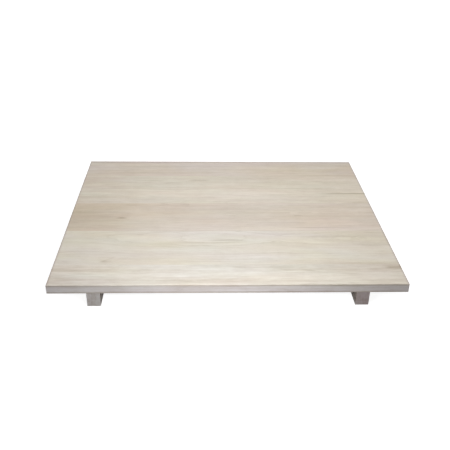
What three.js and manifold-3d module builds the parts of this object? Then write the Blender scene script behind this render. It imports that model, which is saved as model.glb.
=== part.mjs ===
// A footed noodle board: a wide top of edge-joined planks on two batten feet.
// Millimetres, +Z up. The origin is on the table under the middle of the board,
// +X runs along the grain to the right and the front edge is towards -Y.
import * as THREE from 'three';
import { mergeVertices } from 'three/addons/utils/BufferGeometryUtils.js';
import Module from 'manifold-3d';

// The top, made of planks that run left to right
const BOARD_LENGTH = 900;
const BOARD_THICKNESS = 24;
const BOARD_ARRIS = 1;
const FRONT_PLANK_WIDTH = 92;
const SECOND_PLANK_WIDTH = 175;
const MIDDLE_PLANK_WIDTH = 168;
const FOURTH_PLANK_WIDTH = 196;
const REAR_PLANK_WIDTH = 118.2;
const GLUE_LINE = 0.2;

// The feet, two battens that run front to back under the top
const FOOT_WIDTH = 34;
const FOOT_HEIGHT = 40;
const FOOT_ARRIS = 1.5;
const FOOT_INSET = 96;      // from the end of the board to the foot's outer side
const FOOT_SETBACK = 2;     // from the board's front and rear edges to the foot's ends

// Dowels that line the planks up in each seam
const DOWEL_DIAMETER = 8;
const DOWEL_LENGTH = 40;
const DOWEL_ARRIS = 0.8;
const DOWELS_PER_SEAM = 3;
const DOWEL_END_DISTANCE = 70;   // from the end of the board to the outer dowels
const DOWEL_CLEARANCE = 0.3;

// Countersunk wood screws, driven up through each foot into every plank
const SCREW_DIAMETER = 4.2;
const SCREW_HEAD_DIAMETER = 8.4;
const SCREW_RIM = 0.5;           // the head's short straight edge
const SCREW_POINT = 6;           // length of the tapered point
const SCREW_TIP_DIAMETER = 0.6;
const SCREW_TIP_COVER = 6;       // wood left between the screw's tip and the top face
const RECESS_SPAN = 4.6;
const RECESS_WIDTH = 1.1;
const RECESS_DEPTH = 2.1;
const COUNTERBORE_MARGIN = 0.8;  // room all round the head for the driver
const COUNTERBORE_DEPTH = 12;
const SCREW_CLEARANCE = 0.3;

// How far a cutter stands past the faces it cuts, and the sides of every round piece
const OVERCUT = 5;
const ROUND_SIDES = 16;

// Planks from the front edge to the rear one, with their own tones
const PLANKS = [
  { name: 'plank_front', width: FRONT_PLANK_WIDTH, colour: '#e1dacd' },
  { name: 'plank_second', width: SECOND_PLANK_WIDTH, colour: '#ddd5c7' },
  { name: 'plank_middle', width: MIDDLE_PLANK_WIDTH, colour: '#d2c4b0' },
  { name: 'plank_fourth', width: FOURTH_PLANK_WIDTH, colour: '#d6cebd' },
  { name: 'plank_rear', width: REAR_PLANK_WIDTH, colour: '#cdc0ac' },
];
const FEET = [
  { name: 'left_foot', side: -1 },
  { name: 'right_foot', side: 1 },
];

// What follows from those sizes
const seamCount = PLANKS.length - 1;
const boardDepth = PLANKS.reduce((sum, plank) => sum + plank.width, 0) + seamCount * GLUE_LINE;
const boardBase = FOOT_HEIGHT + GLUE_LINE;
const boardTop = boardBase + BOARD_THICKNESS;
const footLength = boardDepth - 2 * FOOT_SETBACK;
const footCentre = BOARD_LENGTH / 2 - FOOT_INSET - FOOT_WIDTH / 2;
const dowelHeight = boardBase + BOARD_THICKNESS / 2;
const screwLength = boardTop - SCREW_TIP_COVER - COUNTERBORE_DEPTH;

const wasm = await Module();
wasm.setup();

// A three.js geometry as a manifold-3d solid, for joins and cuts.
function solidFrom(geometry) {
  const bare = geometry.index ? geometry.toNonIndexed() : geometry.clone();
  bare.deleteAttribute('normal');
  bare.deleteAttribute('uv');
  const merged = mergeVertices(bare);
  return new wasm.Manifold(new wasm.Mesh({
    numProp: 3,
    vertProperties: merged.attributes.position.array,
    triVerts: new Uint32Array(merged.index.array),
  }));
}

// A manifold-3d solid back as a three.js geometry with flat faces.
function geometryFrom(solid) {
  const mesh = solid.getMesh();
  const indexed = new THREE.BufferGeometry();
  indexed.setAttribute('position', new THREE.BufferAttribute(mesh.vertProperties, 3));
  indexed.setIndex(new THREE.BufferAttribute(mesh.triVerts, 1));
  const flat = indexed.toNonIndexed();
  flat.computeVertexNormals();
  return flat;
}

function cutAway(solid, cutters) {
  return cutters.reduce((left, cutter) => left.subtract(cutter), solid);
}

// A block with every edge chamfered, centred on X and Y, standing on z = 0.
function chamferedBlock(sizeX, sizeY, sizeZ, arris) {
  const x = sizeX / 2;
  const y = sizeY / 2;
  const outline = new THREE.Shape([
    new THREE.Vector2(-x + arris, -y),
    new THREE.Vector2(x - arris, -y),
    new THREE.Vector2(x, -y + arris),
    new THREE.Vector2(x, y - arris),
    new THREE.Vector2(x - arris, y),
    new THREE.Vector2(-x + arris, y),
    new THREE.Vector2(-x, y - arris),
    new THREE.Vector2(-x, -y + arris),
  ]);
  const block = new THREE.ExtrudeGeometry(outline, {
    depth: sizeZ - 2 * arris,
    bevelThickness: arris,
    bevelSize: arris,
    bevelOffset: -arris,
    bevelSegments: 1,
  });
  return block.translate(0, 0, arris);
}

// A solid of revolution about Y. The profile is [radius, height] pairs from bottom to top.
function turned(profile) {
  const points = profile.map(([radius, height]) => new THREE.Vector2(radius, height));
  return new THREE.LatheGeometry(points, ROUND_SIDES);
}

// The same, stood up along Z.
function turnedUpright(profile) {
  return turned(profile).rotateX(Math.PI / 2);
}

// Where each plank lies between its two seams, from the front edge at -boardDepth / 2.
function plankPlaces() {
  let front = -boardDepth / 2;
  return PLANKS.map((plank) => {
    const place = { ...plank, front, rear: front + plank.width };
    place.centre = (place.front + place.rear) / 2;
    front = place.rear + GLUE_LINE;
    return place;
  });
}

const planks = plankPlaces();

// The middle of each dowel: evenly spaced along every seam.
function dowelPlaces() {
  const outer = BOARD_LENGTH / 2 - DOWEL_END_DISTANCE;
  const step = (2 * outer) / (DOWELS_PER_SEAM - 1);
  const places = [];
  for (let seam = 0; seam < seamCount; seam += 1) {
    for (let i = 0; i < DOWELS_PER_SEAM; i += 1) {
      places.push({
        name: `seam_${seam + 1}_dowel_${i + 1}`,
        x: -outer + i * step,
        y: planks[seam].rear + GLUE_LINE / 2,
      });
    }
  }
  return places;
}

// The axis of each screw: under the middle of every plank, in the middle of each foot.
function screwPlaces() {
  return FEET.flatMap((foot) => planks.map((plank, i) => ({
    name: `${foot.name}_screw_${i + 1}`,
    foot: foot.name,
    x: foot.side * footCentre,
    y: plank.centre,
  })));
}

const dowels = dowelPlaces();
const screws = screwPlaces();

// A dowel along Y with eased ends, or the hole that takes it when it is given a clearance.
function dowelGeometry(clearance = 0) {
  const radius = DOWEL_DIAMETER / 2 + clearance;
  const half = DOWEL_LENGTH / 2 + clearance;
  return turned([
    [0, -half],
    [radius - DOWEL_ARRIS, -half],
    [radius, -half + DOWEL_ARRIS],
    [radius, half - DOWEL_ARRIS],
    [radius - DOWEL_ARRIS, half],
    [0, half],
  ]);
}

// The screw's outline from its head at z = 0 up to its tip, grown by a clearance for its hole.
function screwProfile(clearance = 0) {
  const head = SCREW_HEAD_DIAMETER / 2 + clearance;
  const shank = SCREW_DIAMETER / 2 + clearance;
  const tip = SCREW_TIP_DIAMETER / 2 + clearance;
  const neck = SCREW_RIM + head - shank;
  return [
    [0, 0],
    [head, 0],
    [head, SCREW_RIM],
    [shank, neck],
    [shank, screwLength - SCREW_POINT],
    [tip, screwLength + clearance],
    [0, screwLength + clearance],
  ];
}

// The cross-shaped drive recess in the head, with its mouth at z = 0.
function recessCutter() {
  const span = RECESS_SPAN / 2;
  const arm = RECESS_WIDTH / 2;
  const corners = [[arm, -span], [arm, -arm], [span, -arm]];
  const outline = [];
  for (let quarter = 0; quarter < 4; quarter += 1) {
    const turn = (quarter * Math.PI) / 2;
    for (const [x, y] of corners) {
      outline.push(new THREE.Vector2(x, y).rotateAround(new THREE.Vector2(), turn));
    }
  }
  const cutter = new THREE.ExtrudeGeometry(new THREE.Shape(outline), {
    depth: RECESS_DEPTH + OVERCUT,
    bevelEnabled: false,
  });
  return solidFrom(cutter.translate(0, 0, -OVERCUT));
}

function screwGeometry() {
  return geometryFrom(solidFrom(turnedUpright(screwProfile())).subtract(recessCutter()));
}

// The hole that a screw stands in, through the foot and into the plank above it.
function screwHole(screw) {
  const hole = turnedUpright(screwProfile(SCREW_CLEARANCE));
  return solidFrom(hole.translate(screw.x, screw.y, COUNTERBORE_DEPTH));
}

// The wide hole under the head, open at the foot's underside.
function counterbore(screw) {
  const radius = SCREW_HEAD_DIAMETER / 2 + COUNTERBORE_MARGIN;
  const bore = turnedUpright([
    [0, -OVERCUT],
    [radius, -OVERCUT],
    [radius, COUNTERBORE_DEPTH],
    [0, COUNTERBORE_DEPTH],
  ]);
  return solidFrom(bore.translate(screw.x, screw.y, 0));
}

function dowelHole(dowel) {
  return solidFrom(dowelGeometry(DOWEL_CLEARANCE).translate(dowel.x, dowel.y, dowelHeight));
}

// The whole top as it is after gluing and chamfering, before it is told apart into planks.
function boardBlank() {
  const blank = chamferedBlock(BOARD_LENGTH, boardDepth, BOARD_THICKNESS, BOARD_ARRIS);
  return solidFrom(blank.translate(0, 0, boardBase));
}

// The space that one plank takes up in the top; the outer planks keep the top's own edges.
function plankSpace(plank) {
  const front = plank === planks[0] ? plank.front - OVERCUT : plank.front;
  const rear = plank === planks[seamCount] ? plank.rear + OVERCUT : plank.rear;
  const space = new THREE.BoxGeometry(
    BOARD_LENGTH + 2 * OVERCUT,
    rear - front,
    BOARD_THICKNESS + 2 * OVERCUT,
  );
  return solidFrom(space.translate(0, (front + rear) / 2, dowelHeight));
}

function plankGeometry(plank, blank) {
  const body = blank.intersect(plankSpace(plank));
  const reaches = (hole) => hole.y > plank.front - DOWEL_LENGTH && hole.y < plank.rear + DOWEL_LENGTH;
  const holes = [
    ...dowels.filter(reaches).map(dowelHole),
    ...screws.filter(reaches).map(screwHole),
  ];
  return geometryFrom(cutAway(body, holes));
}

function footGeometry(foot) {
  const block = chamferedBlock(FOOT_WIDTH, footLength, FOOT_HEIGHT, FOOT_ARRIS);
  const body = solidFrom(block.translate(foot.side * footCentre, 0, 0));
  const own = screws.filter((screw) => screw.foot === foot.name);
  return geometryFrom(cutAway(body, [...own.map(counterbore), ...own.map(screwHole)]));
}

function piece(name, geometry, material) {
  const mesh = new THREE.Mesh(geometry, material);
  mesh.name = name;
  return mesh;
}

function wood(colour) {
  return new THREE.MeshStandardMaterial({ color: colour, roughness: 0.62, metalness: 0 });
}

const footWood = wood('#b9aea3');
const dowelWood = wood('#d8b98c');
const screwSteel = new THREE.MeshStandardMaterial({ color: '#b8b6ae', roughness: 0.35, metalness: 1 });

const board = new THREE.Group();
board.name = 'footed_noodle_board';

const blank = boardBlank();
for (const plank of planks) {
  board.add(piece(plank.name, plankGeometry(plank, blank), wood(plank.colour)));
}

for (const foot of FEET) {
  board.add(piece(foot.name, footGeometry(foot), footWood));
}

for (const dowel of dowels) {
  const mesh = piece(dowel.name, dowelGeometry(), dowelWood);
  mesh.position.set(dowel.x, dowel.y, dowelHeight);
  board.add(mesh);
}

for (const screw of screws) {
  const mesh = piece(screw.name, screwGeometry(), screwSteel);
  mesh.position.set(screw.x, screw.y, COUNTERBORE_DEPTH);
  board.add(mesh);
}

export default board;
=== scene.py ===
import math
from dataclasses import dataclass

import bpy
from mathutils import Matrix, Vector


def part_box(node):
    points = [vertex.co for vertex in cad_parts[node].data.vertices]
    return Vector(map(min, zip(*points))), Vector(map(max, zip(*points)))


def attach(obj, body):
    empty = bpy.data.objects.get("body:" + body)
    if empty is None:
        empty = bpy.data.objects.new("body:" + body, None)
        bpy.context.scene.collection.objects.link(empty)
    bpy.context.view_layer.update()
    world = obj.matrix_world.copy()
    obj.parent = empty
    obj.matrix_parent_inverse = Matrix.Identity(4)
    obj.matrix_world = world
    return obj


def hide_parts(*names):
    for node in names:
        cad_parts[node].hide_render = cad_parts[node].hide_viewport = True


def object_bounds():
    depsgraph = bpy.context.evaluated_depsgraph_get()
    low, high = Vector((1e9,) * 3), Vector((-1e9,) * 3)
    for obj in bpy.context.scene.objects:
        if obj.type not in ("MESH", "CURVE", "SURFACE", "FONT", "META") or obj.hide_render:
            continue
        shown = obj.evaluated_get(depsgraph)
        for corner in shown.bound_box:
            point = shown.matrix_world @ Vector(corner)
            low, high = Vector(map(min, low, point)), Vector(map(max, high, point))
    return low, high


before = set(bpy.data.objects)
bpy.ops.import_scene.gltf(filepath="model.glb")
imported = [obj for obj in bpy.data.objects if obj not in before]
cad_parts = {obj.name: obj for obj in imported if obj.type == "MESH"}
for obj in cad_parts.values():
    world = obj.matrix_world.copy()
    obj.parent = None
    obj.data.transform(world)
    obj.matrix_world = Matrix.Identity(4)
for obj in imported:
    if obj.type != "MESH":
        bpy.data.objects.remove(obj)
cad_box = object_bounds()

# The board's pieces, from the front edge to the rear, with the finish slot of each plank
PLANK_SLOTS = {
    "plank_front": "pale_plank_wood",
    "plank_second": "pale_plank_wood",
    "plank_middle": "tan_plank_wood",
    "plank_fourth": "pale_plank_wood",
    "plank_rear": "tan_plank_wood",
}
FOOT_NODES = ("left_foot", "right_foot")
DOWEL_NODES = sorted(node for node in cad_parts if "_dowel_" in node)
SCREW_NODES = sorted(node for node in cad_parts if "_screw_" in node)

# The board's outer faces, from the frame
BOARD_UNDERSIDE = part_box("plank_front")[0][2]
_, (BOARD_END, BOARD_REAR, BOARD_TOP) = cad_box

# Sizes in metres that the frame doesn't give, with counts and shares
MM = 0.001
BOARD_ARRIS = 1.0 * MM
FOOT_ARRIS = 1.5 * MM
ARRIS_ROWS = 4
SEAM_HAIRLINE = 0.05 * MM
OVERCUT = 10 * MM
FIT_CLEARANCE = 0.15 * MM
FLOOR_DROP = 0.2 * MM
SLAB_OVERSIZE = 2.0

SCREW_RIM = 0.5 * MM
SCREW_RIM_EASE = 0.15 * MM
SCREW_SHANK_RADIUS = 1.6 * MM
SCREW_SHANK_STEP = 0.4 * MM
SCREW_ROOT_RADIUS = 1.35 * MM
SCREW_THREAD_RADIUS = 2.1 * MM
SCREW_TIP_RADIUS = 0.3 * MM
SCREW_TIP_LENGTH = 6 * MM
SCREW_THREAD_LENGTH = 27 * MM
SCREW_PITCH = 2.0 * MM
THREAD_STEPS = 18
THREAD_CORNERS = 4
THREAD_LEAST_SIZE = 0.15
THREAD_SLIMNESS = 0.55
THREAD_SINK = 0.12 * MM
THREAD_LEAD = 0.3 * MM
THREAD_FIRST_ANGLE = math.radians(5)
WELD_REACH = 0.004 * MM
RECESS_SPAN = 4.6 * MM
RECESS_WIDTH = 1.1 * MM
RECESS_DEPTH = 2.1 * MM
SCREW_SIDES = 32
SCREW_TURN_SEED = 7
COUNTERBORE_RADIUS = 5.0 * MM
COUNTERBORE_FLOOR_RISE = 0.02 * MM

DOWEL_FLUTES = 20
DOWEL_FLUTE_DEPTH = 0.45 * MM
DOWEL_END_EASE = 0.8 * MM
HOLE_SIDES = 48
CREASE_ANGLE = math.radians(35)

# Numbers of sockets, where a node has several of one name
MIX_SHARE = 0
MIX_FIRST_COLOUR = 6
MIX_SECOND_COLOUR = 7
MIX_RESULT = 2
RANDOM_LEAST = 2
RANDOM_MOST = 3
RANDOM_RESULT = 1


def add_object(name, data):
    """Puts an object with this data into the scene, at the origin."""
    item = bpy.data.objects.new(name, data)
    bpy.context.scene.collection.objects.link(item)
    return item


# Writing node trees

class Flow:
    """What comes out of a node. Arithmetic on it places the node that works it out."""

    def __init__(self, nodes, socket):
        self.nodes = nodes
        self.socket = socket
        self.wide = socket.type in {"VECTOR", "RGBA"}

    def __add__(self, other):
        return work_out("ADD", self, other)

    def __sub__(self, other):
        return work_out("SUBTRACT", self, other)

    def __rsub__(self, other):
        return work_out("SUBTRACT", other, self)

    def __mul__(self, other):
        return work_out("MULTIPLY", self, other)

    def __truediv__(self, other):
        return work_out("DIVIDE", self, other)

    def __abs__(self):
        return work_out("ABSOLUTE", self)

    def axes(self):
        """Its X, Y and Z parts."""
        node = self.nodes.place("ShaderNodeSeparateXYZ", {0: self})
        return [Flow(self.nodes, socket) for socket in node.outputs]

    def fade(self, start, end):
        """A soft step: 0 at start and before it, 1 at end and after it."""
        inputs = {"Value": self, "From Min": start, "From Max": end}
        return self.nodes.flow("ShaderNodeMapRange", inputs, interpolation_type="SMOOTHSTEP")

    def bell(self):
        """1 at zero, falling away softly on both sides."""
        return work_out("EXPONENT", self * self * -1.0)


class Nodes:
    """Writes one node tree: places nodes, links what flows and sets what stays the same."""

    def __init__(self, tree):
        self.tree = tree

    def place(self, kind, inputs=None, **settings):
        """One node, with its settings and with each input linked or set."""
        node = self.tree.nodes.new(kind)
        for name, value in settings.items():
            setattr(node, name, value)
        self.feed(node, inputs or {})
        return node

    def feed(self, node, inputs):
        """Links each input that a flow goes into, and sets the others."""
        for key, value in inputs.items():
            if isinstance(value, Flow):
                self.tree.links.new(value.socket, node.inputs[key])
            else:
                node.inputs[key].default_value = value

    def flow(self, kind, inputs=None, output=0, **settings):
        """What comes out of one new node."""
        node = self.place(kind, inputs, **settings)
        return Flow(self, node.outputs[output])

    def vector(self, x=0.0, y=0.0, z=0.0):
        """Three numbers as one vector."""
        return self.flow("ShaderNodeCombineXYZ", {0: x, 1: y, 2: z})


def work_out(operation, *terms):
    """Places one Math node, or one Vector Math node where a term has three parts."""
    nodes = next(term.nodes for term in terms if isinstance(term, Flow))
    wide = any(isinstance(term, tuple) or isinstance(term, Flow) and term.wide for term in terms)
    if not wide:
        return nodes.flow("ShaderNodeMath", dict(enumerate(terms)), operation=operation)
    terms = [(term, term, term) if isinstance(term, (int, float)) else term for term in terms]
    output = "Value" if operation == "LENGTH" else "Vector"
    return nodes.flow("ShaderNodeVectorMath", dict(enumerate(terms)), output, operation=operation)


def at_least(share, least):
    """A share from 0 to 1, raised so that it starts at the least one."""
    return share * (1.0 - least) + least


# Materials

def paint(hex_colour):
    """A screen colour such as e6dfd3 as linear red, green and blue, by the sRGB curve."""
    parts = [int(hex_colour[i:i + 2], 16) / 255 for i in (0, 2, 4)]
    return tuple(part / 12.92 if part < 0.04045 else ((part + 0.055) / 1.055) ** 2.4 for part in parts)


def noise(point, detail=2.0, roughness=0.5):
    """Smooth noise over a point that has already been scaled, from about -1 to 1."""
    inputs = {"Vector": point, "Scale": 1.0, "Detail": detail, "Roughness": roughness}
    return (point.nodes.flow("ShaderNodeTexNoise", inputs) - 0.5) * 2.0


@dataclass
class Mark:
    """A darker or paler streak: centre and half sizes in millimetres, how dark, and slope to the grain."""
    x: float
    y: float
    half_length: float
    half_width: float
    depth: float
    slope: float = 0.0


@dataclass
class Knot:
    """A small knot: centre, size and how far growth lines swell round it in millimetres, and how dark."""
    x: float
    y: float
    size: float
    swell: float
    depth: float


@dataclass
class Timber:
    """How one length of timber looks."""
    pale: str                   # its two screen colours
    warm: str
    heart: tuple                # where the log's heart lies, across and up, in millimetres
    ring: float                 # one year's growth, in millimetres
    seed: float                 # its own place in the noise
    sway: float = 1.0           # how far the heart wanders
    lines: float = 0.11         # how dark the growth lines are
    banding: float = 1.0        # how strong the broad bands are
    contrast: float = 1.0       # of everything but the finest layers
    marks: tuple = ()
    knots: tuple = ()
    turn: float = 0.0           # a quarter turn where the grain runs from front to rear
    end_depth: float = 0.2      # how much darker end grain is
    edge: str = "e0dad9"        # the greyer colour of edges
    edge_share: float = 0.85    # how far edges take it
    grey_sides: bool = True     # whether long edges take it, or end grain alone; where they don't, the sides keep the timber's own colours, which on the feet are darkened as painted shade
    rim: float = 0.0            # how dark the rim round the top's ends and rear is: handling soil and painted shade
    warm_right: float = 0.0     # how much warmer the colour gets towards the right end


@dataclass
class Figure:
    """One layer of noise: waves in a metre along and across the grain, octaves, effect and start."""
    along: float
    across: float
    octaves: float
    depth: float
    start: tuple = (0.0, 0.0, 0.0)
    roughness: float = 0.58


# Layers of grain. WASH and BLUSH shift the colour, the others darken it
BANDS = Figure(2.6, 52.0, 3.0, 0.17)
STREAKS = Figure(14.0, 135.0, 3.0, 0.055, (1.4, 54.0, 81.0))
FLECKS = Figure(34.0, 120.0, 2.0, 0.11, (23.8, 24.0, 36.0))
BLOTCHES = Figure(16.0, 44.0, 3.0, 0.11, (8.0, 4.4, 39.6))
FIBRES = Figure(16.0, 760.0, 3.0, 0.10)
PORES = Figure(95.0, 1700.0, 1.0, 0.22)
WASH = Figure(3.0, 10.0, 2.0, 0.9, (0.9, 8.0, 2.0))
BLUSH = Figure(4.0, 16.0, 2.0, 0.045, (3.6, 4.8, 11.2))
FINE_SHARE = 0.85
PORES_FADE = (0.22, 0.5)
PORES_IN_LINES = 0.6
PORES_BETWEEN_LINES = 0.5

# How the log's heart wanders and its growth ripples, with depths in metres
WANDER = Figure(2.2, 1.5, 1.0, 22 * MM, roughness=0.5)
DRIFT = Figure(3.6, 7.0, 2.0, 14 * MM, (5.0, 1.0, 9.0), 0.5)
RIPPLE = Figure(14.0, 45.0, 2.0, 1.6 * MM, roughness=0.5)
SEED_SPREAD = (1.0, 0.37, 0.61)

# Growth lines: waves in a metre outwards and along, and shares of a year in which a line comes and goes
SWING_WAVES = (70.0, 0.9)
YEAR_SWING = 0.8
BREAK_WAVES = (260.0, 5.5)
BREAK_SEED = 3.0
BREAK_FADE = (-0.55, 0.35)
LINE_COMES = (0.0, 0.10)
LINE_GOES = (0.80, 0.06)
LINE_UNBROKEN = 0.3
LINE_GAIN = 1.5
LATE_COMES = (0.0, 0.03)
LATE_GOES = (0.15, 0.04)
LATE_UNBROKEN = 0.4
LATE_FAINTEST = 0.3
LATE_DEPTH = 0.12

# Knots and marks. On end grain a mark fades out below the top
KNOT_STRETCH = 2.2
KNOT_CORE_TIGHTNESS = 2.1
KNOT_CORE_RIPPLE = 0.6
MARK_DRIFT = 4 * MM
MARK_RIPPLE = 2.2 * MM
MARK_FULL_DEPTH = 1.5 * MM
MARK_LAST_DEPTH = 8 * MM

# Edges and ends, told by how flat a face lies and how far it faces along the grain
EDGE_FACING = (0.97, 0.6)
END_FACING = (0.55, 0.85)
RAYS_ROUND = 130.0
RAYS_OUTWARD = 6.0
RAY_FADE = (0.1, 0.5)
RAY_DEPTH = 0.08
END_LINE_DEPTH = 0.12

# A rim round the ends and the rear, darker and greyer: handling soil, and painted shade of the arrises
# that face away from the light. Along the edges, a darker band at the top and painted shade towards the
# bottom
RIM_WIDTH = 7 * MM
RIM_CORE = 0.3 * MM
REAR_RIM_SPREAD = 2.6
RIM_GREYNESS = 0.8
GRIP_WAVES = (6.0, 11.0, 30.0)
GRIP_SWAY = 1.5 * MM
GRIP_HEIGHT_SWAY = 0.06
GRIP_DEPTH = 0.05
UPPER_EDGE_BAND = (0.70, 0.95)
UPPER_EDGE_BAND_DEPTH = 0.26
UPPER_EDGE_BAND_WARMTH = 0.4
# Painted shade darkening the edges towards their bottom
LOWER_PAINTED_SHADE = (0.30, 0.06)
LOWER_PAINTED_SHADE_DEPTH = 0.30

# Colour: from pale to warm, and how much of the red and the blue a dark place loses
HUE_START = 0.3
HUE_OF_BANDS = 0.25
HUE_OF_ENDS = 0.8
RED_LOSS = 0.86
BLUE_LOSS = 1.18

# Surface of the wood
WOOD_ROUGHNESS = 0.68
FIBRE_ROUGHNESS = 0.07
BAND_ROUGHNESS = 0.04
LINE_SMOOTHNESS = 0.05
EDGE_ROUGHNESS = 0.06
WOOD_SHEEN = 0.22
FIBRE_RELIEF = 0.45
LINE_RELIEF = 0.3
PORE_RELIEF = 0.8
WOOD_RELIEF_STRENGTH = 0.35
WOOD_RELIEF_HEIGHT = 0.06 * MM

# Zinc: clouds from bright to dull, and fine wear
ZINC_BRIGHT = "c9cbca"
ZINC_DULL = "b3ab98"
ZINC_ROUGHNESS = 0.36
CLOUD_WAVES = (420.0, 420.0, 300.0)
CLOUD_OCTAVES = 3.0
CLOUD_FADE = (-0.4, 0.5)
CLOUD_ROUGHNESS = 0.1
WEAR_WAVES = (2400.0, 2400.0, 900.0)
WEAR_FADE = (0.2, 0.6)
WEAR_DEPTH = 0.25
WEAR_ROUGHNESS = 0.06
WEAR_RELIEF_STRENGTH = 0.25
WEAR_RELIEF_HEIGHT = 0.03 * MM


def layer(spot, figure):
    """Noise drawn out along the grain, from about -1 to 1."""
    waves = (figure.along, figure.across, figure.across)
    return noise(spot * waves + figure.start, figure.octaves, figure.roughness)


def log_noise(radius, along, waves, seed, octaves):
    """Noise that follows the growth lines, in waves a metre outwards and along the log."""
    outward, lengthwise = waves
    return noise(radius.nodes.vector(radius * outward, seed, along * lengthwise), octaves)


def mixed(nodes, share, first, second):
    """A colour between two, each a flow or a screen colour."""
    ends = [end if isinstance(end, Flow) else (*paint(end), 1.0) for end in (first, second)]
    inputs = {MIX_SHARE: share, MIX_FIRST_COLOUR: ends[0], MIX_SECOND_COLOUR: ends[1]}
    return nodes.flow("ShaderNodeMix", inputs, MIX_RESULT, data_type="RGBA")


def new_material(name):
    """A material, the writer of its tree and its shader."""
    material = bpy.data.materials.new(name)
    material.use_nodes = True
    return material, Nodes(material.node_tree), material.node_tree.nodes["Principled BSDF"]


def dress(shader, colour, rough, relief, strength, height):
    """Gives a shader its colour, its roughness and a fine relief."""
    nodes = colour.nodes
    bump = nodes.flow("ShaderNodeBump", {"Height": relief, "Strength": strength, "Distance": height})
    nodes.feed(shader, {"Base Color": colour, "Roughness": rough, "Normal": bump})


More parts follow.
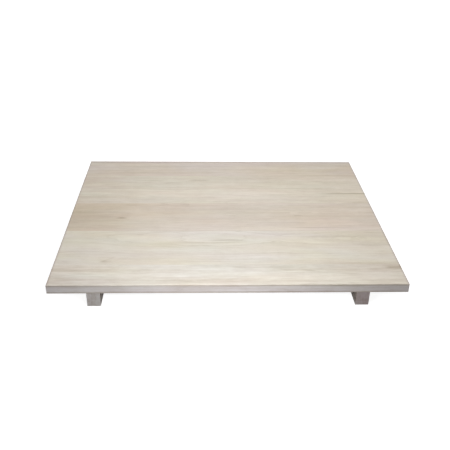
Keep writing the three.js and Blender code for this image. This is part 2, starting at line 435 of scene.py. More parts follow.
def wood(name, timber):
    """Planed, unsealed wood with growth lines round the log's heart, streaks, fibres and pores."""
    material, nodes, shader = new_material(name)
    place = nodes.place("ShaderNodeTexCoord")
    grain, facing = [
        nodes.flow(
            "ShaderNodeMapping",
            {"Vector": Flow(nodes, place.outputs[label]), "Rotation": (0.0, 0.0, timber.turn)},
        )
        for label in ("Object", "Normal")
    ]
    along, across, up = grain.axes()
    ends, _, flat = [abs(part) for part in facing.axes()]
    edge = flat.fade(*EDGE_FACING)
    end = ends.fade(*END_FACING)
    seeded = grain + tuple(timber.seed * share for share in SEED_SPREAD)

    # The growth lines lie round the heart, which wanders along the log, and swell round knots
    drift = layer(seeded, DRIFT)
    ripple = layer(seeded, RIPPLE)
    heart_across, heart_up = timber.heart
    side = across - heart_across * MM + drift * (DRIFT.depth * timber.sway)
    depth = up - heart_up * MM + layer(seeded, WANDER) * (WANDER.depth * timber.sway)
    radius = work_out("LENGTH", nodes.vector(side, depth)) + ripple * RIPPLE.depth
    knots_dark = 0.0
    for knot in timber.knots:
        size = knot.size * MM
        far = (along - knot.x * MM) / (size * KNOT_STRETCH)
        near = work_out("LENGTH", nodes.vector(far, (across - knot.y * MM) / size))
        radius = radius + near.bell() * (knot.swell * MM)
        core = near * KNOT_CORE_TIGHTNESS + ripple * KNOT_CORE_RIPPLE
        knots_dark = core.bell() * knot.depth + knots_dark

    # Each year's line has its own strength and breaks off here and there
    uneven = log_noise(radius, along, SWING_WAVES, timber.seed, 1.0)
    years = radius / (timber.ring * MM) + uneven * YEAR_SWING
    year = work_out("FRACT", years)
    chance = {"W": work_out("FLOOR", years) + timber.seed}
    own = nodes.flow("ShaderNodeTexWhiteNoise", chance, noise_dimensions="1D")
    broken = log_noise(radius, along, BREAK_WAVES, timber.seed + BREAK_SEED, 2.0).fade(*BREAK_FADE)
    line = year.fade(*LINE_COMES) * year.fade(*LINE_GOES)
    strength = own * own * at_least(broken, LINE_UNBROKEN) * LINE_GAIN
    late = year.fade(*LATE_COMES) * year.fade(*LATE_GOES)
    late = late * at_least(own, LATE_FAINTEST) * at_least(broken, LATE_UNBROKEN)

    # Broad bands, streaks, short flecks, fine fibres and pores run along the grain
    bands = layer(seeded, BANDS)
    fibre = layer(seeded, FIBRES)
    pores = layer(seeded, PORES).fade(*PORES_FADE)
    broad = line * strength * timber.lines + bands * (BANDS.depth * timber.banding)
    for figure in (STREAKS, FLECKS, BLOTCHES):
        broad = broad + layer(seeded, figure) * figure.depth
    open_pores = pores * (line * PORES_IN_LINES + PORES_BETWEEN_LINES)
    fine = late * LATE_DEPTH + fibre * FIBRES.depth + open_pores * PORES.depth
    dark = broad * timber.contrast + fine * FINE_SHARE + knots_dark

    # Marks of this one timber
    shallow = 1.0 - end * up.fade(BOARD_TOP - MARK_FULL_DEPTH, BOARD_TOP - MARK_LAST_DEPTH)
    waver = across + drift * MARK_DRIFT + ripple * MARK_RIPPLE
    for mark in timber.marks:
        far = along - mark.x * MM
        aside = waver - mark.y * MM
        if mark.slope:
            aside = aside - far * mark.slope
        far = far / (mark.half_length * MM)
        reach = (far * far).bell() * (aside / (mark.half_width * MM)).bell() * shallow
        dark = dark + reach * mark.depth

    # Edges are greyer, end grain is darker and shows its rays, and the rim round the ends and rear is
    # darker and greyer: handling soil and painted shade
    angle = work_out("ARCTAN2", side, depth)
    rays = noise(nodes.vector(angle * RAYS_ROUND, radius * RAYS_OUTWARD, timber.seed), 1.0).fade(*RAY_FADE)
    dark = dark + end * (rays * RAY_DEPTH + line * END_LINE_DEPTH + timber.end_depth)
    # On the feet only the end grain takes the edge colour, so their sides keep colours darkened as painted
    # shade
    edge_share = (edge if timber.grey_sides else end) * timber.edge_share
    if timber.rim:
        grip = noise(seeded * GRIP_WAVES)
        from_rear = (BOARD_REAR - across) / REAR_RIM_SPREAD
        inset = work_out("MINIMUM", BOARD_END - abs(along), from_rear) + grip * GRIP_SWAY
        # The rim round the ends and the rear: handling soil, and painted shade of the arrises that face
        # away from the light
        rim = inset.fade(RIM_WIDTH, RIM_CORE) * (1.0 - edge)
        # Along the edges, a darker, warmer band at the top and painted shade towards the bottom, mottled
        # by noise
        height = (up - BOARD_UNDERSIDE) / (BOARD_TOP - BOARD_UNDERSIDE) + grip * GRIP_HEIGHT_SWAY
        upper = height.fade(*UPPER_EDGE_BAND)
        lower_shade = height.fade(*LOWER_PAINTED_SHADE)
        edge_bands_and_shade = upper * UPPER_EDGE_BAND_DEPTH + lower_shade * LOWER_PAINTED_SHADE_DEPTH + grip * GRIP_DEPTH
        dark = dark + rim * timber.rim + edge * edge_bands_and_shade
        edge_share = edge_share * (1.0 - upper * UPPER_EDGE_BAND_WARMTH) + rim * RIM_GREYNESS

    hue = layer(seeded, WASH) * WASH.depth + bands * HUE_OF_BANDS + HUE_START
    hue = hue + abs(along) * HUE_OF_ENDS + along * timber.warm_right
    tint = mixed(nodes, hue.fade(0.0, 1.0), timber.pale, timber.warm)
    tint = mixed(nodes, edge_share, tint, timber.edge)
    blush = layer(seeded, BLUSH) * BLUSH.depth
    colour = tint * (1.0 - nodes.vector(dark * RED_LOSS, dark + blush, dark * BLUE_LOSS))
    rough = fibre * FIBRE_ROUGHNESS + bands * BAND_ROUGHNESS - line * LINE_SMOOTHNESS
    rough = rough + edge * EDGE_ROUGHNESS + WOOD_ROUGHNESS
    relief = fibre * FIBRE_RELIEF - line * LINE_RELIEF - pores * PORE_RELIEF
    dress(shader, colour, rough, relief, WOOD_RELIEF_STRENGTH, WOOD_RELIEF_HEIGHT)
    nodes.feed(shader, {"Specular IOR Level": WOOD_SHEEN})
    return material


def zinc_steel():
    """Bright zinc on a steel screw, with clouding and fine wear."""
    material, nodes, shader = new_material("bright_zinc_screw")
    spot = nodes.flow("ShaderNodeTexCoord", output="Object")
    cloud = noise(spot * CLOUD_WAVES, CLOUD_OCTAVES)
    wear = noise(spot * WEAR_WAVES)
    tint = mixed(nodes, cloud.fade(*CLOUD_FADE), ZINC_BRIGHT, ZINC_DULL)
    colour = tint * (1.0 - wear.fade(*WEAR_FADE) * WEAR_DEPTH)
    rough = cloud * CLOUD_ROUGHNESS + wear * WEAR_ROUGHNESS + ZINC_ROUGHNESS
    dress(shader, colour, rough, wear, WEAR_RELIEF_STRENGTH, WEAR_RELIEF_HEIGHT)
    nodes.feed(shader, {"Metallic": 1.0})
    return material


# Shapes that the trees share

def start_tree(name, inputs):
    """A Geometry Nodes tree with named inputs. Returns its writer and what flows from each input."""
    tree = bpy.data.node_groups.new(name, "GeometryNodeTree")
    tree.interface.new_socket("Geometry", in_out="INPUT", socket_type="NodeSocketGeometry")
    for label, kind in inputs.items():
        tree.interface.new_socket(label, in_out="INPUT", socket_type=kind)
    tree.interface.new_socket("Geometry", in_out="OUTPUT", socket_type="NodeSocketGeometry")
    nodes = Nodes(tree)
    entry = nodes.place("NodeGroupInput")
    given = {socket.name: Flow(nodes, socket) for socket in entry.outputs if socket.name}
    return nodes, given


def end_tree(nodes, shape, material):
    """Closes a tree: whole mesh, one material."""
    whole = nodes.flow("GeometryNodeRealizeInstances", {"Geometry": shape})
    dressed = nodes.flow("GeometryNodeSetMaterial", {"Geometry": whole, "Material": material})
    nodes.place("NodeGroupOutput", {"Geometry": dressed})
    return nodes.tree


def moved(nodes, shape, place=(0.0, 0.0, 0.0), turn=(0.0, 0.0, 0.0), scale=(1.0, 1.0, 1.0)):
    """The shape scaled, turned and then moved."""
    inputs = {"Geometry": shape, "Translation": place, "Rotation": turn, "Scale": scale}
    return nodes.flow("GeometryNodeTransform", inputs)


def cut(nodes, operation, first, second):
    """One boolean of two closed shapes. A difference takes the first from its own socket."""
    node = nodes.place("GeometryNodeMeshBoolean", operation=operation, solver="MANIFOLD")
    first_socket = "Mesh 1" if operation == "DIFFERENCE" else "Mesh 2"
    nodes.tree.links.new(first.socket, node.inputs[first_socket])
    nodes.tree.links.new(second.socket, node.inputs["Mesh 2"])
    return Flow(nodes, node.outputs["Mesh"])


def copies(nodes, points, shape, turn=None, chosen=None):
    """The shape set on each point, as one mesh."""
    inputs = {"Points": points, "Instance": shape}
    if turn is not None:
        inputs["Rotation"] = turn
    if chosen is not None:
        inputs["Selection"] = chosen
    placed = nodes.flow("GeometryNodeInstanceOnPoints", inputs)
    return nodes.flow("GeometryNodeRealizeInstances", {"Geometry": placed})


def eased_block(nodes, size, arris):
    """A block with round arrises: the outer rows of a cube's grid are bent round each edge."""
    rows = 2 * (ARRIS_ROWS + 1)
    inputs = {"Size": (2.0, 2.0, 2.0), "Vertices X": rows, "Vertices Y": rows, "Vertices Z": rows}
    cube = nodes.flow("GeometryNodeMeshCube", inputs)
    spot = nodes.flow("GeometryNodeInputPosition")
    side = work_out("SIGN", spot)
    # From 0 at the innermost row to 1 at the outermost
    share = (abs(spot) * (rows - 1.0) - 1.0) / (rows - 2.0)
    outward = work_out("NORMALIZE", work_out("TANGENT", share * (math.pi / 4)) * side)
    rounded = side * (size * 0.5 - arris) + outward * arris
    return nodes.flow("GeometryNodeSetPosition", {"Geometry": cube, "Position": rounded})


def picked(nodes, values):
    """The value at each point's own number in the list."""
    switch = nodes.place("GeometryNodeIndexSwitch", data_type="FLOAT")
    while len(switch.index_switch_items) < len(values):
        switch.index_switch_items.new()
    nodes.feed(switch, {"Index": nodes.flow("GeometryNodeInputIndex")})
    nodes.feed(switch, dict(enumerate(values, start=1)))
    return Flow(nodes, switch.outputs[0])


def swept(nodes, line, section, scale):
    """A closed body: the section carried along a line of points, scaled at each by a stored size."""
    store = {"Geometry": line, "Name": "swept_size", "Value": scale}
    sized = nodes.flow("GeometryNodeStoreNamedAttribute", store, data_type="FLOAT", domain="POINT")
    path = nodes.flow("GeometryNodeMeshToCurve", {"Mesh": sized})
    path = nodes.flow("GeometryNodeSetCurveNormal", {"Curve": path}, mode="Z_UP")
    size = nodes.flow("GeometryNodeInputNamedAttribute", {"Name": "swept_size"}, data_type="FLOAT")
    inputs = {"Curve": path, "Profile Curve": section, "Scale": size, "Fill Caps": True}
    return nodes.flow("GeometryNodeCurveToMesh", inputs)


def turned(nodes, profile, sides):
    """A round solid about Z from pairs of radius and height, from its foot up."""
    line = nodes.flow("GeometryNodeMeshLine", {"Count": len(profile)})
    radius = picked(nodes, [pair[0] for pair in profile])
    height = picked(nodes, [pair[1] for pair in profile])
    line = nodes.flow("GeometryNodeSetPosition", {"Geometry": line, "Position": nodes.vector(z=height)})
    rim = nodes.flow("GeometryNodeCurvePrimitiveCircle", {"Resolution": sides, "Radius": 1.0})
    return swept(nodes, line, rim, radius)


def grown(name, tree, points, sizes, screw_holes=()):
    """Runs a tree over a mesh of points and keeps the result as a plain mesh."""
    mesh = bpy.data.meshes.new(name + "_points")
    mesh.from_pydata(points, [], [])
    flags = mesh.attributes.new("screw_hole", "BOOLEAN", "POINT")
    for number, flag in enumerate(screw_holes):
        flags.data[number].value = flag
    piece = add_object(name, mesh)
    maker = piece.modifiers.new("maker", "NODES")
    maker.node_group = tree
    for socket in tree.interface.items_tree:
        if socket.in_out == "INPUT" and socket.name in sizes:
            maker[socket.identifier] = sizes[socket.name]
    piece.data = made_mesh(piece, name)
    piece.modifiers.clear()
    smooth_between_creases(piece)
    return piece


def made_mesh(piece, name):
    """The mesh that the piece's modifiers give now."""
    depsgraph = bpy.context.evaluated_depsgraph_get()
    mesh = bpy.data.meshes.new_from_object(piece.evaluated_get(depsgraph))
    mesh.name = name
    return mesh


def smooth_between_creases(piece):
    """Round surfaces shade smoothly, creases stay sharp and large flats stay flat."""
    piece.data.shade_smooth()
    piece.data.set_sharp_from_angle(angle=CREASE_ANGLE)
    weighted = piece.modifiers.new("flats", "WEIGHTED_NORMAL")
    weighted.keep_sharp = True
    piece.data = made_mesh(piece, piece.name)
    piece.modifiers.clear()


# The planks

def plank_tree():
    """One plank of the glued-up top, with its halves of the dowel holes and its screw holes."""
    nodes, given = start_tree("plank_of_the_top", {
        "Top Size": "NodeSocketVector",
        "Top Centre": "NodeSocketVector",
        "Arris": "NodeSocketFloat",
        "Front Seam": "NodeSocketFloat",
        "Rear Seam": "NodeSocketFloat",
        "Dowel Hole Radius": "NodeSocketFloat",
        "Dowel Hole Reach": "NodeSocketFloat",
        "Screw Hole Radius": "NodeSocketFloat",
        "Screw Hole Depth": "NodeSocketFloat",
        "Wood": "NodeSocketMaterial",
    })
    top = moved(nodes, eased_block(nodes, given["Top Size"], given["Arris"]), given["Top Centre"])
    length, _, thickness = given["Top Size"].axes()
    _, _, centre_height = given["Top Centre"].axes()
    width = given["Rear Seam"] - given["Front Seam"]
    slab_size = nodes.vector(length * SLAB_OVERSIZE, width, thickness * SLAB_OVERSIZE)
    slab_place = nodes.vector(0.0, (given["Rear Seam"] + given["Front Seam"]) * 0.5, centre_height)
    slab = moved(nodes, nodes.flow("GeometryNodeMeshCube", {"Size": slab_size}), slab_place)
    plank = cut(nodes, "INTERSECT", top, slab)

    reach = given["Dowel Hole Reach"]
    radius = given["Dowel Hole Radius"]
    bore = turned(nodes, [(radius, reach * -1.0), (radius, reach)], HOLE_SIDES)
    bore = moved(nodes, bore, turn=(math.pi / 2, 0.0, 0.0))
    radius = given["Screw Hole Radius"]
    pilot = turned(nodes, [(radius, -OVERCUT), (radius, given["Screw Hole Depth"])], HOLE_SIDES)
    for_screw = nodes.flow("GeometryNodeInputNamedAttribute", {"Name": "screw_hole"}, data_type="BOOLEAN")
    for_dowel = nodes.flow("FunctionNodeBooleanMath", {0: for_screw}, operation="NOT")
    plank = cut(nodes, "DIFFERENCE", plank, copies(nodes, given["Geometry"], bore, chosen=for_dowel))
    plank = cut(nodes, "DIFFERENCE", plank, copies(nodes, given["Geometry"], pilot, chosen=for_screw))
    return end_tree(nodes, plank, given["Wood"])


def middle(node):
    """Centre of a node's box."""
    low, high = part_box(node)
    return [(a + b) / 2 for a, b in zip(low, high)]


def base(node):
    """Middle of the foot of a node's box."""
    x, y, _ = middle(node)
    low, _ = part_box(node)
    return (x, y, low[2])


def make_planks(woods):
    """The five planks, cut from one eased top at the middle of each glue line."""
    tree = plank_tree()
    boxes = {node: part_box(node) for node in PLANK_SLOTS}
    low = [min(box[0][axis] for box in boxes.values()) for axis in range(3)]
    high = [max(box[1][axis] for box in boxes.values()) for axis in range(3)]
    order = list(PLANK_SLOTS)
    seams = [low[1] - OVERCUT]
    for front, rear in zip(order, order[1:]):
        seams.append((boxes[front][1][1] + boxes[rear][0][1]) / 2)
    seams.append(high[1] + OVERCUT)
    dowel_low, dowel_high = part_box(DOWEL_NODES[0])
    _, screw_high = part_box(SCREW_NODES[0])
    for number, node in enumerate(order):
        front, rear = seams[number], seams[number + 1]
        dowels = [d for d in DOWEL_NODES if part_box(d)[0][1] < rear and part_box(d)[1][1] > front]
        screws = [s for s in SCREW_NODES if front < middle(s)[1] < rear]
        points = [middle(d) for d in dowels]
        for screw in screws:
            x, y, _ = middle(screw)
            points.append((x, y, low[2]))
        sizes = {
            "Top Size": [b - a for a, b in zip(low, high)],
            "Top Centre": [(a + b) / 2 for a, b in zip(low, high)],
            "Arris": BOARD_ARRIS,
            "Front Seam": front + SEAM_HAIRLINE / 2,
            "Rear Seam": rear - SEAM_HAIRLINE / 2,
            "Dowel Hole Radius": (dowel_high[0] - dowel_low[0]) / 2 + FIT_CLEARANCE,
            "Dowel Hole Reach": (dowel_high[1] - dowel_low[1]) / 2 + FIT_CLEARANCE,
            "Screw Hole Radius": SCREW_THREAD_RADIUS + FIT_CLEARANCE,
            "Screw Hole Depth": screw_high[2] - low[2] + FIT_CLEARANCE,
            "Wood": woods[node],
        }
        flags = [False] * len(dowels) + [True] * len(screws)
        piece = grown(node.replace("plank_", "") + "_plank", tree, points, sizes, flags)
        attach(piece, "root")
        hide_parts(node)


# The feet

def foot_tree():
    """A batten foot with a counterbored, countersunk hole for each screw."""
    nodes, given = start_tree("batten_foot", {
        "Foot Size": "NodeSocketVector",
        "Foot Centre": "NodeSocketVector",
        "Arris": "NodeSocketFloat",
        "Counterbore Radius": "NodeSocketFloat",
        "Head Radius": "NodeSocketFloat",
        "Head Rim": "NodeSocketFloat",
        "Hole Radius": "NodeSocketFloat",
        "Hole Height": "NodeSocketFloat",
        "Wood": "NodeSocketMaterial",
    })
    block = moved(nodes, eased_block(nodes, given["Foot Size"], given["Arris"]), given["Foot Centre"])
    head, hole, rim = given["Head Radius"], given["Hole Radius"], given["Head Rim"]
    profile = [
        (given["Counterbore Radius"], -2 * OVERCUT),
        (given["Counterbore Radius"], 0.0),
        (head, COUNTERBORE_FLOOR_RISE),
        (head, rim),
        (hole, rim + head - hole),
        (hole, given["Hole Height"]),
    ]
    drilled = copies(nodes, given["Geometry"], turned(nodes, profile, HOLE_SIDES))
    return end_tree(nodes, cut(nodes, "DIFFERENCE", block, drilled), given["Wood"])


def make_feet(woods):
    """The two feet, each drilled for its own screws."""
    tree = foot_tree()
    for node in FOOT_NODES:
        low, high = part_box(node)
        screws = [s for s in SCREW_NODES if low[0] < middle(s)[0] < high[0]]
        screw_low, screw_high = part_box(screws[0])
        points = [base(s) for s in screws]
        sizes = {
            "Foot Size": [b - a for a, b in zip(low, high)],
            "Foot Centre": middle(node),
            "Arris": FOOT_ARRIS,
            "Counterbore Radius": COUNTERBORE_RADIUS,
            "Head Radius": (screw_high[0] - screw_low[0]) / 2 + FIT_CLEARANCE,
            "Head Rim": SCREW_RIM,
            "Hole Radius": SCREW_THREAD_RADIUS + FIT_CLEARANCE,
            "Hole Height": high[2] - screw_low[2] + OVERCUT,
            "Wood": woods[node],
        }
        piece = grown(node + "_batten", tree, points, sizes)
        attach(piece, "root")
        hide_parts(node)


# The screws

def thread(nodes, length):
    """The ridge of the screw's thread, wound from the shank to the point and fading at both ends."""
    turns = (SCREW_THREAD_LENGTH - THREAD_LEAD) / SCREW_PITCH
    count = int(turns * THREAD_STEPS)
    number = nodes.flow("GeometryNodeInputIndex")
    rise = number * (SCREW_PITCH / THREAD_STEPS)
    height = rise + (length - SCREW_THREAD_LENGTH) + THREAD_LEAD
    left = length - height
    taper = work_out("MINIMUM", left * (1.0 / SCREW_TIP_LENGTH), 1.0)
    radius = taper * (SCREW_ROOT_RADIUS - SCREW_TIP_RADIUS) + (SCREW_TIP_RADIUS - THREAD_SINK)
    angle = number * (2 * math.pi / THREAD_STEPS) + THREAD_FIRST_ANGLE
    spot = nodes.vector(work_out("COSINE", angle) * radius, work_out("SINE", angle) * radius, height)
    line = nodes.flow("GeometryNodeMeshLine", {"Count": count})
    line = nodes.flow("GeometryNodeSetPosition", {"Geometry": line, "Position": spot})
    ridge = nodes.flow("GeometryNodeCurvePrimitiveCircle", {"Resolution": THREAD_CORNERS, "Radius": 1.0})
    ridge = moved(nodes, ridge, scale=(1.0, THREAD_SLIMNESS, 1.0))
    start = work_out("MINIMUM", number * (1.0 / THREAD_STEPS), 1.0)
    size = at_least(work_out("MINIMUM", start, taper), THREAD_LEAST_SIZE)
    return swept(nodes, line, ridge, size * (SCREW_THREAD_RADIUS - SCREW_ROOT_RADIUS) + THREAD_SINK)


def screw_tree():
    """Countersunk wood screws, driven upwards, each with its cross recess turned its own way."""
    nodes, given = start_tree("foot_screws", {
        "Length": "NodeSocketFloat",
        "Head Radius": "NodeSocketFloat",
        "Seed": "NodeSocketInt",
        "Steel": "NodeSocketMaterial",
    })
    length, head = given["Length"], given["Head Radius"]
    threaded = length - SCREW_THREAD_LENGTH
    profile = [
        (head - SCREW_RIM_EASE, 0.0),
        (head, SCREW_RIM_EASE),
        (head, SCREW_RIM),
        (SCREW_SHANK_RADIUS, head + (SCREW_RIM - SCREW_SHANK_RADIUS)),
        (SCREW_SHANK_RADIUS, threaded - SCREW_SHANK_STEP),
        (SCREW_ROOT_RADIUS, threaded),
        (SCREW_ROOT_RADIUS, length - SCREW_TIP_LENGTH),
        (SCREW_TIP_RADIUS, length),
    ]
    screw = cut(nodes, "UNION", turned(nodes, profile, SCREW_SIDES), thread(nodes, length))
    for span, width in ((RECESS_SPAN, RECESS_WIDTH), (RECESS_WIDTH, RECESS_SPAN)):
        blade = nodes.flow("GeometryNodeMeshCube", {"Size": (span, width, 2 * RECESS_DEPTH)})
        screw = cut(nodes, "DIFFERENCE", screw, blade)
    screw = nodes.flow("GeometryNodeMergeByDistance", {"Geometry": screw, "Distance": WELD_REACH})
    inputs = {RANDOM_LEAST: 0.0, RANDOM_MOST: 2 * math.pi, "Seed": given["Seed"]}
    angle = nodes.flow("FunctionNodeRandomValue", inputs, RANDOM_RESULT, data_type="FLOAT")
    screws = copies(nodes, given["Geometry"], screw, turn=nodes.vector(z=angle))
    return end_tree(nodes, screws, given["Steel"])


def make_screws(steel):
    """All the screws, as one piece."""
    low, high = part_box(SCREW_NODES[0])
    points = [base(s) for s in SCREW_NODES]
    sizes = {
        "Length": high[2] - low[2],
        "Head Radius": (high[0] - low[0]) / 2,
        "Seed": SCREW_TURN_SEED,
        "Steel": steel,
    }
    piece = grown("foot_screws", screw_tree(), points, sizes)
    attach(piece, "root")
    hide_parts(*SCREW_NODES)


# The dowels

def dowel_tree():
    """Fluted dowels with eased ends, lying across the seams."""
    nodes, given = start_tree("seam_dowels", {
        "Length": "NodeSocketFloat",
        "Radius": "NodeSocketFloat",
        "Flute Depth": "NodeSocketFloat",
        "End Ease": "NodeSocketFloat",
        "Wood": "NodeSocketMaterial",
    })
    half = given["Length"] * 0.5
    radius = given["Radius"]
    shoulder = half - given["End Ease"]
    heights = [half * -1.0, shoulder * -1.0, shoulder, half]
    eased = 1.0 - given["End Ease"] / radius
    line = nodes.flow("GeometryNodeMeshLine", {"Count": len(heights)})
    spot = nodes.vector(y=picked(nodes, heights))
    line = nodes.flow("GeometryNodeSetPosition", {"Geometry": line, "Position": spot})
    inner = radius - given["Flute Depth"]
    star = {"Points": DOWEL_FLUTES, "Inner Radius": inner, "Outer Radius": radius}
    section = nodes.flow("GeometryNodeCurveStar", star)
    dowel = swept(nodes, line, section, picked(nodes, [eased, 1.0, 1.0, eased]))
    return end_tree(nodes, copies(nodes, given["Geometry"], dowel), given["Wood"])


def make_dowels(beech):
    """All the dowels, as one piece."""
    low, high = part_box(DOWEL_NODES[0])
    sizes = {
        "Length": high[1] - low[1],
        "Radius": (high[0] - low[0]) / 2,
        "Flute Depth": DOWEL_FLUTE_DEPTH,
        "End Ease": DOWEL_END_EASE,
        "Wood": beech,
    }
    piece = grown("seam_dowels", dowel_tree(), [middle(d) for d in DOWEL_NODES], sizes)
    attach(piece, "root")
    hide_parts(*DOWEL_NODES)


# The timber of each piece

TIMBERS = {
    "plank_front": Timber(
        pale="dbd6cd", warm="ddd4c5", heart=(-262, -60), ring=4.2,
        seed=1.7, sway=0.6, banding=1.8, rim=0.3, warm_right=0.25,
        marks=(
            Mark(100, -295, 90, 4.5, 0.13),
            Mark(-270, -295, 90, 9, -0.06),
            Mark(-100, -361, 360, 12, 0.05),
            Mark(310, -301, 150, 13, 0.045),
            Mark(215, -312, 30, 3, 0.11, -0.3),
            Mark(305, -325.5, 28, 3, 0.11, -0.03),
            Mark(437, -297, 28, 9, 0.24),
            Mark(310, -340, 200, 26, -0.045),
            Mark(390, -328, 60, 6, -0.09),
            Mark(200, -314, 90, 5, -0.06),
            Mark(-360, -355, 80, 6, -0.07),
            Mark(-390, -302, 50, 7, -0.07),
            Mark(-220, -303, 130, 3, 0.05),
            Mark(-200, -347, 130, 3, -0.04),
            Mark(-200, -355, 130, 2.5, 0.05),
            Mark(-420, -332, 100, 50, 0.07),
            Mark(-200, -366, 260, 5, 0.055),
            Mark(-50, -378, 80, 5, 0.05),
            Mark(-310, -378, 150, 5, -0.13),
        ),
    ),
    "plank_second": Timber(
        pale="ded8cf", warm="ded5c3", heart=(-150, -90), ring=4,
        seed=4.3, sway=0.6, lines=0.07, banding=0.8, contrast=0.66, rim=0.3, warm_right=0.2,
        marks=(
            Mark(0, -160, 45, 3.5, 0.25),
            Mark(-170, -144, 120, 18, -0.07),
            Mark(340, -135, 130, 10, 0.05),
            Mark(210, -168, 80, 10, -0.06),
            Mark(0, -257, 150, 10, 0.07),
            Mark(-60, -173, 100, 2.5, 0.12),
            Mark(-30, -269, 170, 2, 0.05),
            Mark(420, -179, 80, 16, 0.07),
            Mark(330, -278, 130, 4, 0.12),
            Mark(280, -141, 100, 3, 0.08),
            Mark(300, -180, 100, 3, 0.04, -0.05),
            Mark(-312, -256, 18, 3, 0.09, 0.7),
            Mark(-330, -279, 30, 3, 0.06),
        ),
        knots=(Knot(-321, -266, 12, 6.5, 0.22),),
    ),
    "plank_middle": Timber(
        pale="d7cdc1", warm="d7c9b6", heart=(60, -70), ring=3.6,
        seed=7.9, sway=0.6, banding=0.9, contrast=0.7, rim=0.3, warm_right=-0.6,
        marks=(
            Mark(-30, 43, 130, 8, 0.06),
            Mark(-40, 22, 160, 12, 0.085),
            Mark(310, -60, 70, 18, -0.075),
            Mark(180, -99, 280, 10, -0.065),
            Mark(-130, -55, 60, 12, -0.06),
            Mark(-270, 51, 30, 8, 0.05),
            Mark(270, -89, 90, 3, 0.09),
            Mark(270, -98, 90, 3, -0.04),
            Mark(430, -14, 90, 70, -0.04),
            Mark(-420, -14, 120, 70, 0.13),
            Mark(-20, -92, 250, 22, -0.05),
            Mark(20, 1, 320, 30, 0.02),
            Mark(55, -18, 50, 10, 0.06),
            Mark(-340, -12, 50, 10, -0.05),
            Mark(390, -95, 70, 10, -0.05),
            Mark(-230, -24, 60, 22, -0.05),
            Mark(217, -17, 12, 3, 0.14),
            Mark(208, 0, 12, 4, -0.1),
            Mark(271, 0, 12, 4, -0.1),
        ),
        knots=(Knot(-300, -31, 11, 6, 0.24),),
    ),
    "plank_fourth": Timber(
        pale="d8d1c3", warm="dacebd", heart=(60, -60), ring=4,
        seed=11.2, sway=0.6, contrast=0.82, rim=0.3, warm_right=0.4,
        marks=(
            Mark(-100, 136, 250, 35, -0.025),
            Mark(30, 238, 200, 26, 0.095),
            Mark(-210, 115, 130, 22, -0.065),
            Mark(420, 120, 70, 80, -0.055),
            Mark(-160, 202, 30, 6, 0.12),
            Mark(20, 101, 50, 7, -0.05),
            Mark(80, 122, 50, 6, -0.055),
            Mark(160, 130, 50, 6, -0.04),
            Mark(410, 128, 85, 4.5, 0.42),
            Mark(-390, 221, 50, 8, 0.08),
            Mark(-240, 222, 50, 5, 0.14),
            Mark(-80, 223, 30, 6, 0.14),
        ),
    ),
    "plank_rear": Timber(
        pale="d5ccc3", warm="d5c8b6", heart=(430, -50), ring=3.6,
        seed=15.1, sway=0.5, contrast=0.8, rim=0.3, warm_right=0.2,
        marks=(
            Mark(-70, 316, 100, 50, 0.035),
            Mark(-310, 343, 120, 12, -0.075),
            Mark(-260, 362, 200, 8, 0.06),
            Mark(-420, 316, 80, 50, -0.03),
        ),
    ),
    # The feet's pale and warm colours are darkened as painted shade for their sides under the board; only
    # their end grain takes the paler edge colour
    "left_foot": Timber(
        pale="a39c96", warm="9c938b", heart=(330, -30), ring=3.4,
        seed=19.6, sway=0.5,
        turn=math.pi / 2, end_depth=0.05, edge="dfdddb", edge_share=0.8, grey_sides=False,
    ),
    "right_foot": Timber(
        pale="a29993", warm="998e87", heart=(-352, -20), ring=3.8,
        seed=23.8, sway=0.5,
        turn=math.pi / 2, end_depth=0.16, edge="cfc5c8", edge_share=0.8, grey_sides=False,
    ),
    "dowels": Timber(
        pale="d8bf9c", warm="cfb08a", heart=(30, -40), ring=3.5,
        seed=27.4,
        turn=math.pi / 2, end_depth=0.12, edge_share=0.0,
    ),
}


# Stage: floor, light and surroundings

OVERHEAD_PLACE = (0.046, 0.126, 1.086)
OVERHEAD_POWER = 24.5
FRONT_PLACE = (-0.040, -0.740, 0.300)
FRONT_POWER = 7.0
LAMP_RADIUS = 0.12
FILL_DISTANCE = 1.5
FILL_HEIGHT = 0.16
FILL_POWER = 13.0
FILL_RADIUS = 0.15
SKY_BRIGHTNESS = 0.34
GROUND_BRIGHTNESS = 0.06
HORIZON_BLUR = 0.15
SWEEP_REACH = 7.0
SWEEP_RINGS = (0.1, 0.5, 1.0)
SWEEP_BEND = 3.0
SWEEP_HEIGHT = 12.0
SWEEP_BEND_STEPS = 12
SWEEP_SIDES = 96
SWEEP_ALBEDO = 0.4
SWEEP_ROUGHNESS = 0.9
NEAR_GLOW = 0.90
FAR_GLOW = 1.0
NEAR_REACH = 0.6
FAR_REACH = 1.5


def sweep_profile():
    """Radius and height of the studio sweep: flat, then bent up into a wall."""
    points = [(SWEEP_REACH * share, 0.0) for share in SWEEP_RINGS]
    for step in range(1, SWEEP_BEND_STEPS + 1):
        angle = math.pi / 2 * step / SWEEP_BEND_STEPS
        points.append((SWEEP_REACH + SWEEP_BEND * math.sin(angle), SWEEP_BEND * (1 - math.cos(angle))))
    points.append((SWEEP_REACH + SWEEP_BEND, SWEEP_HEIGHT))
    return points


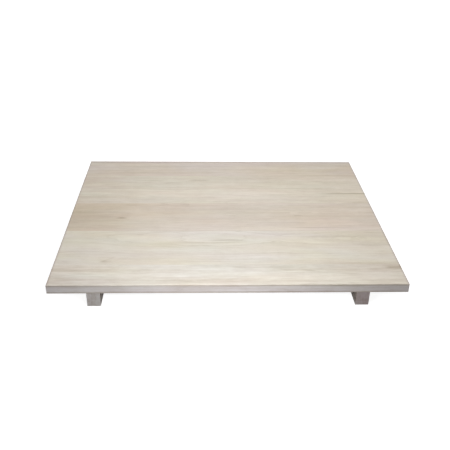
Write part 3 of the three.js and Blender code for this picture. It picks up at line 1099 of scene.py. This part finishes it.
def make_sweep():
    """A plain white lit table that runs up into a wall all round, and takes a faint shadow."""
    points = [(0.0, 0.0, -FLOOR_DROP)]
    faces = []
    profile = sweep_profile()
    for radius, height in profile:
        for side in range(SWEEP_SIDES):
            angle = 2 * math.pi * side / SWEEP_SIDES
            points.append((radius * math.cos(angle), radius * math.sin(angle), height - FLOOR_DROP))
    for side in range(SWEEP_SIDES):
        beside = (side + 1) % SWEEP_SIDES
        faces.append((0, 1 + side, 1 + beside))
        for row in range(len(profile) - 1):
            inner = 1 + row * SWEEP_SIDES
            outer = inner + SWEEP_SIDES
            faces.append((inner + side, outer + side, outer + beside, inner + beside))
    mesh = bpy.data.meshes.new("white_sweep")
    mesh.from_pydata(points, [], faces)
    mesh.shade_smooth()
    sweep = add_object("white_sweep", mesh)
    material, nodes, shader = new_material("white_sweep")
    reach = work_out("LENGTH", nodes.flow("ShaderNodeTexCoord", output="Object"))
    glow = reach.fade(NEAR_REACH, FAR_REACH) * (FAR_GLOW - NEAR_GLOW) + NEAR_GLOW
    nodes.feed(shader, {
        "Base Color": (SWEEP_ALBEDO, SWEEP_ALBEDO, SWEEP_ALBEDO, 1.0),
        "Roughness": SWEEP_ROUGHNESS,
        "Specular IOR Level": 0.0,
        "Emission Color": (1.0, 1.0, 1.0, 1.0),
        "Emission Strength": glow,
    })
    mesh.materials.append(material)
    sweep.visible_diffuse = False
    sweep.visible_glossy = False


def add_lamp(name, place, power, radius):
    """A soft round lamp that the camera doesn't see."""
    data = bpy.data.lights.new(name, "POINT")
    data.shadow_soft_size = radius
    data.energy = power
    lamp = add_object(name, data)
    lamp.location = place
    lamp.visible_camera = False


def make_light():
    """Soft lamps overhead and before the front edge, low fill on the other sides, and a dim sky."""
    add_lamp("overhead_lamp", OVERHEAD_PLACE, OVERHEAD_POWER, LAMP_RADIUS)
    add_lamp("front_lamp", FRONT_PLACE, FRONT_POWER, LAMP_RADIUS)
    for name, x, y in (("left_fill", -1, 0), ("right_fill", 1, 0), ("rear_fill", 0, 1)):
        place = (x * FILL_DISTANCE, y * FILL_DISTANCE, FILL_HEIGHT)
        add_lamp(name, place, FILL_POWER, FILL_RADIUS)
    world = bpy.data.worlds.new("studio")
    world.use_nodes = True
    bpy.context.scene.world = world
    nodes = Nodes(world.node_tree)
    _, _, up = nodes.flow("ShaderNodeTexCoord", output="Generated").axes()
    glow = up.fade(-HORIZON_BLUR, HORIZON_BLUR) * (SKY_BRIGHTNESS - GROUND_BRIGHTNESS) + GROUND_BRIGHTNESS
    nodes.feed(world.node_tree.nodes["Background"], {"Color": glow})


# Camera fitted to the board's corners: place in metres, turn in degrees, lens and sensor in millimetres

CAMERA_PLACE = (-0.0708, -1.6710, 0.9658)
CAMERA_TURN = (60.564, -1.037, -1.910)
CAMERA_LENS = 51.06
CAMERA_SENSOR = 36.0


def set_camera():
    """The camera whose view of the board fits the picture."""
    data = bpy.data.cameras.new("board_camera")
    data.lens = CAMERA_LENS
    data.sensor_width = CAMERA_SENSOR
    camera = add_object("board_camera", data)
    camera.location = CAMERA_PLACE
    camera.rotation_euler = [math.radians(angle) for angle in CAMERA_TURN]
    bpy.context.scene.camera = camera


def make_board():
    """Every piece of the board, with its material."""
    woods = {name: wood(name + "_wood", timber) for name, timber in TIMBERS.items()}
    make_planks(woods)
    make_feet(woods)
    make_screws(zinc_steel())
    make_dowels(woods["dowels"])


make_board()
make_sweep()
make_light()
set_camera()
bpy.context.scene.view_settings.view_transform = "Standard"
